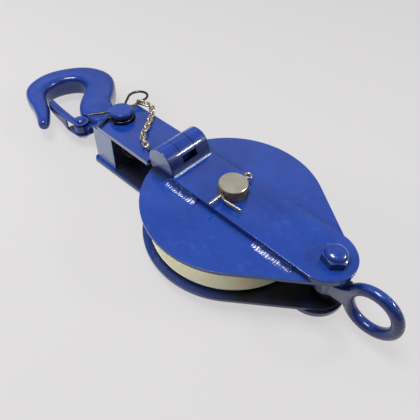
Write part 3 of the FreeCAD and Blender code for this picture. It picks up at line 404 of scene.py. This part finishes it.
# Width of the broken edges in millimetres
EDGES = {
    "front_cheek": 0.35, "rear_cheek": 0.35, "front_strap": 0.12, "rear_strap": 0.25, "cross_block": 0.5,
    "gate_plate": 0.2, "strap_hinge": 0.25, "locking_pin": 0.3, "tail_bolt": 0.3, "tail_nut": 0.3,
    "latch_nut": 0.2, "hook_nut": 0.2, "axle": 0.2, "sheave": 0.2, "hook_latch": 0.6, "tail_washer": 0.2,
}
MADE_HERE = ("front_welds", "rear_welds", "hinge_seam", "block_weld", "tail_nut")


def joined_mesh(node, name):
    """Copy of a node's mesh with its loose triangles joined and its flat faces whole."""
    mesh = frame["nodes"][node].data.copy()
    mesh.name = name
    shell = bmesh.new()
    shell.from_mesh(mesh)
    bmesh.ops.remove_doubles(shell, verts=shell.verts, dist=MERGE_DISTANCE)
    bmesh.ops.dissolve_limit(shell, angle_limit=FLAT_WITHIN, verts=shell.verts, edges=shell.edges)
    shell.to_mesh(mesh)
    shell.free()
    for attribute in ("custom_normal", "sharp_face", "sharp_edge"):
        if attribute in mesh.attributes:
            mesh.attributes.remove(mesh.attributes[attribute])
    return mesh


def settle(piece, node, material):
    """Give a piece its finish, and let it stand for a node on that node's body."""
    piece.data.materials.clear()
    piece.data.materials.append(material)
    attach(piece, body_of[node])
    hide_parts(node)


def skin(mesh, node):
    """Show a mesh as a node's smooth skin, with its edges broken by a small bevel."""
    mesh.shade_smooth()
    mesh.set_sharp_from_angle(angle=CREASE)
    piece = bpy.data.objects.new(node + "_skin", mesh)
    bpy.context.scene.collection.objects.link(piece)
    if node in EDGES:
        bevel = piece.modifiers.new("broken_edge", "BEVEL")
        bevel.width = EDGES[node] * MM
        bevel.segments = 2
        bevel.limit_method = "ANGLE"
        bevel.angle_limit = CREASE
        bevel.harden_normals = True
        bevel.use_clamp_overlap = True
    settle(piece, node, piece_finishes.get(node, slot_finishes[slot_of[node]]))


for node in frame["nodes"]:
    if node not in MADE_HERE:
        skin(joined_mesh(node, node + "_skin"), node)


# Crown of the tail nut

# Radius as a share of half the width across flats, and rise as a share of what the bolt stands out
CROWN = (
    (0.86, -0.10), (0.86, 0.06), (0.83, 0.22), (0.75, 0.50),
    (0.62, 0.75), (0.45, 0.92), (0.24, 1.02), (0.0, 1.05),
)
CROWN_STEPS = 48


def crowned_nut():
    """The tail nut with the paint-filled crown that hides the bolt's end."""
    low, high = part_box("tail_nut")
    stands_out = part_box("tail_bolt")[1].z - high.z
    middle_x = (low.x + high.x) / 2
    half_flats = min(high.x - low.x, high.y - low.y) / 2
    mesh = joined_mesh("tail_nut", "tail_nut_skin")
    shell = bmesh.new()
    shell.from_mesh(mesh)
    turns = [2 * math.pi * step / CROWN_STEPS for step in range(CROWN_STEPS)]
    rings = []
    for share, rise in CROWN[:-1]:
        radius, z = share * half_flats, high.z + rise * stands_out
        spots = [(middle_x + radius * math.cos(turn), radius * math.sin(turn), z) for turn in turns]
        rings.append([shell.verts.new(spot) for spot in spots])
    top = shell.verts.new((middle_x, 0, high.z + CROWN[-1][1] * stands_out))
    steps = [(step, (step + 1) % CROWN_STEPS) for step in range(CROWN_STEPS)]
    for under, over in zip(rings, rings[1:]):
        for step, after in steps:
            shell.faces.new((under[step], under[after], over[after], over[step]))
    for step, after in steps:
        shell.faces.new((rings[-1][step], rings[-1][after], top))
    shell.faces.new(rings[0][::-1])
    shell.to_mesh(mesh)
    shell.free()
    return mesh


skin(crowned_nut(), "tail_nut")


# Weld beads

POINT_SPACING = 0.4 * MM
PROFILE_SIDES = 28
TOE_END = 1.05
UNDERSIDE = -0.12
DRIFT_CLOUD, LUMP_CLOUD, WANDER_CLOUD = 70.0, 230.0, 110.0      # blots in a metre


def weld_bead_tree():
    """Geometry Nodes: each line becomes a closed bead that falls from its root to its toe, with ripples.

    Heights and places across the bead are in half widths: its root is at -1 and its toe ends at TOE_END.
    """
    group = bpy.data.node_groups.new("weld_bead", "GeometryNodeTree")
    entries = (
        ("Lines", "NodeSocketGeometry", None),
        ("Root Height", "NodeSocketFloat", 1.07),
        ("Crest Height", "NodeSocketFloat", 0.407),
        ("Crest Place", "NodeSocketFloat", -0.15),
        ("Face Slope", "NodeSocketFloat", 0.466),
        ("Toe Slope", "NodeSocketFloat", 0.212),
        ("Roundness", "NodeSocketFloat", 0.0),
        ("Ripple Pitch", "NodeSocketFloat", 3.2 * MM),
        ("Ripple Height", "NodeSocketFloat", 0.12),
        ("Lump Height", "NodeSocketFloat", 0.07),
        ("Wander", "NodeSocketFloat", 0.5),
        ("Seed", "NodeSocketFloat", 1.0),
        ("Paint", "NodeSocketMaterial", None),
    )
    for name, kind, default in entries:
        socket = group.interface.new_socket(name, in_out="INPUT", socket_type=kind)
        if default is not None:
            socket.default_value = default
    group.interface.new_socket("Beads", in_out="OUTPUT", socket_type="NodeSocketGeometry")
    tree = Tree(group)
    entry = tree.node("NodeGroupInput")
    given = {name: tree.output_of(entry, name) for name, kind, default in entries}

    def stored(name, kind="FLOAT_VECTOR"):
        return tree.node("GeometryNodeInputNamedAttribute", {"data_type": kind}, {"Name": name})

    def store(line, name, value, kind="FLOAT_VECTOR"):
        settings = {"data_type": kind, "domain": "POINT"}
        inputs = {"Geometry": line, "Name": name, "Value": value}
        return tree.node("GeometryNodeStoreNamedAttribute", settings, inputs)

    def vectors(operation, *inputs, output=0):
        return tree.node("ShaderNodeVectorMath", {"operation": operation}, dict(enumerate(inputs)), output)

    def scaled(vector, factor):
        return tree.node("ShaderNodeVectorMath", {"operation": "SCALE"}, {0: vector, "Scale": factor})

    def cloud(per_metre, shift=0.0):
        """Cloudy pattern from -1 to 1."""
        seed = given["Seed"] + shift
        inputs = {"Vector": place, "W": seed, "Scale": per_metre, "Detail": 2.0, "Roughness": 0.55}
        return (tree.node("ShaderNodeTexNoise", {"noise_dimensions": "4D"}, inputs) - 0.5) * 2.0

    place = tree.node("GeometryNodeInputPosition")
    line = tree.node("GeometryNodeMeshToCurve", {}, {"Mesh": given["Lines"]})
    spaced = {"Curve": line, "Length": POINT_SPACING}
    line = tree.node("GeometryNodeResampleCurve", {"mode": "LENGTH"}, spaced)
    along = tree.node("GeometryNodeSplineParameter", output="Length")
    total = tree.node("GeometryNodeSplineLength", output="Length")
    size, crown, side = stored("size", "FLOAT"), stored("crown"), stored("side")
    to_end = along.maths("MINIMUM", total - along) / size
    cap = (1 - (1 - to_end.maths("MINIMUM", 1.0)) ** 2.0).maths("MAXIMUM", 0.02) ** 0.5
    line = store(line, "middle", place)
    line = store(line, "along", along, "FLOAT")
    line = store(line, "cap", cap, "FLOAT")
    line = tree.node("GeometryNodeSetCurveRadius", {}, {"Curve": line, "Radius": size * cap})
    circle = {"Resolution": PROFILE_SIDES, "Radius": 1.0}
    profile = tree.node("GeometryNodeCurvePrimitiveCircle", {"mode": "RADIUS"}, circle)
    radius = tree.node("GeometryNodeInputRadius")
    sweep = {"Curve": line, "Profile Curve": profile, "Scale": radius, "Fill Caps": True}
    bead = tree.node("GeometryNodeCurveToMesh", {}, sweep)

    outwards = vectors("SUBTRACT", place, stored("middle"))
    aside = vectors("DOT_PRODUCT", outwards, side, output="Value") / size
    rise = vectors("DOT_PRODUCT", outwards, crown, output="Value") / size
    cap = stored("cap", "FLOAT")
    root, crest, where = given["Root Height"], given["Crest Height"], given["Crest Place"]
    steep = crest + (where - aside) * (root - crest) / (where + 1.0)
    face = crest + (where - aside) * given["Face Slope"]
    toe = (TOE_END - aside) * given["Toe Slope"]
    ripples = stored("along", "FLOAT") / given["Ripple Pitch"] + cloud(DRIFT_CLOUD, 5.0) * 0.8
    saw = (ripples + 0.4 * aside * aside).maths("FRACT")
    uneven = given["Lump Height"] * cloud(LUMP_CLOUD) - given["Ripple Height"] * saw * saw
    top = (steep.maths("MAXIMUM", face).maths("MAXIMUM", toe) + uneven) * cap
    shaped = (rise > 0.001) * top + tree.ramp(rise, 0.0, 0.02, UNDERSIDE, 0.0)
    rounded = rise * (1 + uneven)
    height = shaped + given["Roundness"] * (rounded - shaped)
    wander = given["Wander"] * cloud(WANDER_CLOUD, 9.0) * 0.5 * cap
    offset = vectors("ADD", scaled(crown, (height - rise) * size), scaled(side, wander * size))
    bead = tree.node("GeometryNodeSetPosition", {}, {"Geometry": bead, "Offset": offset})
    bead = tree.node("GeometryNodeSetShadeSmooth", {}, {"Geometry": bead})
    bead = tree.node("GeometryNodeRealizeInstances", {}, {"Geometry": bead})
    bead = tree.node("GeometryNodeSetMaterial", {}, {"Geometry": bead, "Material": given["Paint"]})
    tree.node("NodeGroupOutput", {}, {0: bead})
    return group


weld_group = weld_bead_tree()


def bead_mesh(name, lines, sizes):
    """Mesh of beads; a line is its two ends, where its crown and toe point, and half its width in mm."""
    points, crowns, sides, halves = [], [], [], []
    for start, stop, crown, side, half in lines:
        for end in (start, stop):
            points.append(Vector(end) * MM)
            crowns.extend(Vector(crown).normalized())
            sides.extend(Vector(side).normalized())
            halves.append(half * MM)
    mesh = bpy.data.meshes.new(name)
    mesh.from_pydata(points, [(number, number + 1) for number in range(0, len(points), 2)], [])
    mesh.attributes.new("crown", "FLOAT_VECTOR", "POINT").data.foreach_set("vector", crowns)
    mesh.attributes.new("side", "FLOAT_VECTOR", "POINT").data.foreach_set("vector", sides)
    mesh.attributes.new("size", "FLOAT", "POINT").data.foreach_set("value", halves)
    holder = bpy.data.objects.new(name, mesh)
    bpy.context.scene.collection.objects.link(holder)
    maker = holder.modifiers.new("weld_bead", "NODES")
    maker.node_group = weld_group
    inputs = [item for item in weld_group.interface.items_tree if item.in_out == "INPUT"]
    identifiers = {item.name.replace(" ", "_"): item.identifier for item in inputs}
    for key, size in sizes.items():
        maker[identifiers[key]] = size
    ready = holder.evaluated_get(bpy.context.evaluated_depsgraph_get())
    bead = bpy.data.meshes.new_from_object(ready)
    bpy.data.objects.remove(holder)
    for attribute in ("crown", "side", "size", "middle", "along", "cap"):
        bead.attributes.remove(bead.attributes[attribute])
    return bead


def weld_beads(node, lines, paint=weld_enamel, **sizes):
    """One piece with all the beads of a weld; sizes are those inputs of the tree that differ here."""
    mesh = bead_mesh(node + "_lines", lines, {"Paint": paint, **sizes})
    mesh.shade_smooth()
    piece = bpy.data.objects.new(node + "_beads", mesh)
    bpy.context.scene.collection.objects.link(piece)
    settle(piece, node, paint)


# Half widths of the beads, how far a stitch's root reaches into the strap's edge, and the steps from
# the corner of the frame's seam to the middle of the round bead, in millimetres
HEAD_STITCH, TAIL_STITCH, SEAM_BEAD, BLOCK_BEAD = 4.9, 4.3, 1.7, 2.4
UNDER_STRAP = 0.5
SEAM_INWARDS, SEAM_DOWN = 0.6, 0.3


def stitch_lines(node):
    """The four stitches between a strap and its cheek; the ones at the head are wider."""
    outer = 1 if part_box(node)[0].z > 0 else -1
    face = outer * CHEEK_OUT / MM
    ends = sorted({round(point.x / MM, 1) for point in points_of(node)})
    lines = []
    for start, stop, half in ((ends[0], ends[1], HEAD_STITCH), (ends[-2], ends[-1], TAIL_STITCH)):
        for side in (1, -1):
            y = side * (STRAP_EDGE / MM + half - UNDER_STRAP)
            lines.append(((start, y, face), (stop, y, face), (0, 0, outer), (0, side, 0), half))
    return lines


def seam_line():
    """The round bead along the foot of the hinge."""
    low, high = (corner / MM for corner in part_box("hinge_seam"))
    x, z = low.x + SEAM_INWARDS, low.z - SEAM_DOWN
    return ((x, low.y, z), (x, high.y, z), (0, 0, 1), (1, 0, 0), SEAM_BEAD)


def block_line():
    """The round bead in the corner between the cross block and the rear strap."""
    low, high = (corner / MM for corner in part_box("block_weld"))
    return ((low.x, low.y, low.z), (low.x, high.y, low.z), (1, 0, 1), (1, 0, -1), BLOCK_BEAD)


weld_beads("front_welds", stitch_lines("front_welds"), Seed=3.0)
weld_beads("rear_welds", stitch_lines("rear_welds"), Seed=8.0)
weld_beads(
    "hinge_seam", [seam_line()], seam_highlight_paint,
    Roundness=1.0, Ripple_Height=0.0, Lump_Height=0.06, Wander=0.0,
)
weld_beads(
    "block_weld", [block_line()], block_enamel,
    Roundness=1.0, Ripple_Height=0.2, Lump_Height=0.16, Wander=0.0, Seed=17.0,
)


# Floor, light and camera

FLOOR_SHADE = (0.716, 0.702, 0.709)
FLOOR_GLOW = 0.99
GLOW_SHARE = 0.8
FLOOR_GAP = 0.2 * MM
FLOOR_REACH = 6.0

# Brightness of the dim room, by how far up a direction points (0 is level, 1 straight up), and the
# factors for the near and the far side
ROOM_STOPS = ((0.0, 0.16), (0.48, 0.22), (0.60, 0.46), (0.68, 0.42), (0.76, 0.22), (1.0, 0.22))
ROOM_NEAR, ROOM_FAR = 0.35, 1.1

CAMERA_ANGLES = (-48.11, 44.2, 1.99)    # azimuth, elevation and roll in degrees
CAMERA_TARGET = Vector((-47.02, 18.77, 0)) * MM
CAMERA_DISTANCE = 524.83 * MM
CAMERA_LENS, CAMERA_SENSOR = 37.78, 36
CAMERA_SHIFT = (-0.0049, -0.067)


def floor():
    """Pale floor that the block rests on with the edge of the bolt's head and the strap's end."""
    bolt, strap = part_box("tail_bolt")[0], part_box("rear_strap")[0]
    mesh = bpy.data.meshes.new("floor")
    corners = [(x * FLOOR_REACH, y * FLOOR_REACH, 0) for x, y in ((-1, -1), (1, -1), (1, 1), (-1, 1))]
    mesh.from_pydata(corners, [], [(0, 1, 2, 3)])
    plane = bpy.data.objects.new("floor", mesh)
    bpy.context.scene.collection.objects.link(plane)
    plane.location = (bolt.x, 0, bolt.z - FLOOR_GAP)
    plane.rotation_euler = (0, math.atan2(strap.z - bolt.z, bolt.x - strap.x), 0)
    paint = Finish("pale_floor")
    rays = paint.node("ShaderNodeLightPath", output="Is Camera Ray")
    seen = rays + paint.output_of(rays, "Is Glossy Ray") + paint.output_of(rays, "Is Transmission Ray")
    matt = paint.node("ShaderNodeBsdfDiffuse", {}, {"Color": FLOOR_SHADE})
    glow = paint.node("ShaderNodeEmission", {}, {"Color": FLOOR_SHADE, "Strength": FLOOR_GLOW})
    share = seen.maths("MINIMUM", 1.0) * GLOW_SHARE
    mixed = paint.node("ShaderNodeMixShader", {}, {0: share, 1: matt, 2: glow})
    paint.node("ShaderNodeOutputMaterial", {}, {"Surface": mixed})
    mesh.materials.append(paint.material)


def softbox(name, towards, distance, width, height, strength, mirrored=True):
    """Area lamp that faces the block from a direction and distance; strength is its radiance."""
    lamp = bpy.data.lights.new(name, "AREA")
    lamp.shape = "RECTANGLE"
    lamp.size, lamp.size_y = width, height
    lamp.energy = strength * math.pi * width * height
    holder = bpy.data.objects.new(name, lamp)
    bpy.context.scene.collection.objects.link(holder)
    direction = Vector(towards).normalized()
    holder.location = direction * distance
    holder.rotation_euler = (-direction).to_track_quat("-Z", "Y").to_euler()
    holder.visible_glossy = mirrored


def studio():
    """Soft light: boxes overhead, beyond the tail (small and bright) and on the left, and a dim room."""
    softbox("overhead_box", (-0.12, -0.18, 1.0), 1.3, 0.55, 0.42, 16.0)
    softbox("far_box", (0.66, 0.53, 0.54), 1.2, 0.26, 0.09, 60.0)
    softbox("left_box", (-0.80, -0.56, 0.42), 1.3, 0.8, 0.4, 11.0, mirrored=False)
    world = bpy.data.worlds.new("room")
    world.use_nodes = True
    room = Tree(world.node_tree)
    room.tree.nodes.clear()
    towards = room.parts(room.node("ShaderNodeTexCoord", output="Generated"))
    shade = room.node("ShaderNodeValToRGB", {"stops": ROOM_STOPS}, {"Fac": towards[2]}, "Color")
    strength = room.ramp(towards[1], -0.6, 0.4, ROOM_NEAR, ROOM_FAR)
    rays = room.node("ShaderNodeLightPath", output="Is Camera Ray")
    backdrop = room.node("ShaderNodeBackground", {}, {"Color": FLOOR_SHADE, "Strength": 1.0})
    light = room.node("ShaderNodeBackground", {}, {"Color": shade, "Strength": strength})
    mixed = room.node("ShaderNodeMixShader", {}, {0: rays, 1: light, 2: backdrop})
    room.node("ShaderNodeOutputWorld", {}, {"Surface": mixed})
    bpy.context.scene.world = world


def camera():
    """Camera of the photograph: its direction and distance from a point of the block's middle plane."""
    azimuth, elevation, roll = (math.radians(angle) for angle in CAMERA_ANGLES)
    ahead = Vector((math.cos(azimuth), math.sin(azimuth), 0))
    back = ahead * math.cos(elevation) + Vector((0, 0, math.sin(elevation)))
    level = Vector((-math.sin(azimuth), math.cos(azimuth), 0))
    upright = back.cross(level)
    right = math.cos(roll) * level + math.sin(roll) * upright
    up = math.cos(roll) * upright - math.sin(roll) * level
    lens = bpy.data.cameras.new("camera")
    lens.lens, lens.sensor_width = CAMERA_LENS, CAMERA_SENSOR
    lens.shift_x, lens.shift_y = CAMERA_SHIFT
    lens.clip_start, lens.clip_end = 0.01, 50
    holder = bpy.data.objects.new("camera", lens)
    bpy.context.scene.collection.objects.link(holder)
    turned = Matrix((right, up, back)).transposed().to_4x4()
    holder.matrix_world = Matrix.Translation(CAMERA_TARGET + back * CAMERA_DISTANCE) @ turned
    bpy.context.scene.camera = holder


floor()
studio()
camera()
bpy.context.scene.view_settings.view_transform = "Standard"
